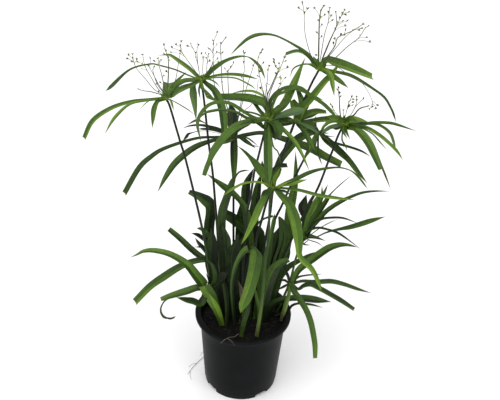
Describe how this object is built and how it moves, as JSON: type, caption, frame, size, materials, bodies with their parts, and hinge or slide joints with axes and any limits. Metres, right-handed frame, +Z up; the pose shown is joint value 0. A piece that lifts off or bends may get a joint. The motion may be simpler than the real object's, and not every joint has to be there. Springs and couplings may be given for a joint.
{
  "type": "potted papyrus plant",
  "caption": "Umbrella papyrus in a round black nursery pot: thin upright stems, each topped by a whorl of long arching leaves, some with fine flower rays, over dark soil.",
  "frame": {"origin": "centre of the pot's underside, on the floor it stands on", "axes": "+Z up, +X to the right and +Y away from the viewer as the plant is seen in the picture"},
  "size_m": [0.3693, 0.2003, 0.5194],
  "materials": {
    "pot_plastic": "satin black",
    "potting_soil": "dark crumbly soil",
    "stem_green": "smooth green stem",
    "leaf_green": "satin green leaf with parallel veins",
    "flower_straw": "dry straw-green flower rays",
    "root_pale": "pale root fibre"
  },
  "bodies": {
    "root": {"flower_head_back": "flower_straw", "flower_head_back_left": "flower_straw", "flower_head_front": "flower_straw", "flower_head_left": "flower_straw", "flower_head_right": "flower_straw", "flower_head_top": "flower_straw", "leaf_whorl_back": "leaf_green", "leaf_whorl_back_left": "leaf_green", "leaf_whorl_front": "leaf_green", "leaf_whorl_front_low": "leaf_green", "leaf_whorl_inner_left": "leaf_green", "leaf_whorl_left": "leaf_green", "leaf_whorl_left_shoot": "leaf_green", "leaf_whorl_middle": "leaf_green", "leaf_whorl_right": "leaf_green", "leaf_whorl_right_back": "leaf_green", "leaf_whorl_right_low": "leaf_green", "leaf_whorl_right_shoot": "leaf_green", "leaf_whorl_top": "leaf_green", "pot": "pot_plastic", "root_from_drain": "root_pale", "root_over_rim": "root_pale", "soil": "potting_soil", "soil_leaf_bridge": "leaf_green", "soil_leaf_crossing": "leaf_green", "soil_leaf_curling": "leaf_green", "soil_leaf_deep": "leaf_green", "soil_leaf_front_young": "leaf_green", "soil_leaf_hanging": "leaf_green", "soil_leaf_left_young": "leaf_green", "soil_leaf_low_right": "leaf_green", "soil_leaf_middle_dark": "leaf_green", "soil_leaf_over_rim": "leaf_green", "soil_leaf_right_broad": "leaf_green", "soil_leaf_right_dark": "leaf_green", "soil_leaf_right_folded": "leaf_green", "soil_leaf_right_low": "leaf_green", "soil_leaf_spear": "leaf_green", "soil_leaf_tall_left": "leaf_green", "soil_leaf_tall_right": "leaf_green", "stem_back": "stem_green", "stem_back_left": "stem_green", "stem_front": "stem_green", "stem_front_low": "stem_green", "stem_inner_left": "stem_green", "stem_left": "stem_green", "stem_left_shoot": "stem_green", "stem_middle": "stem_green", "stem_right": "stem_green", "stem_right_back": "stem_green", "stem_right_low": "stem_green", "stem_right_shoot": "stem_green", "stem_top": "stem_green"}
  },
  "joints": []
}
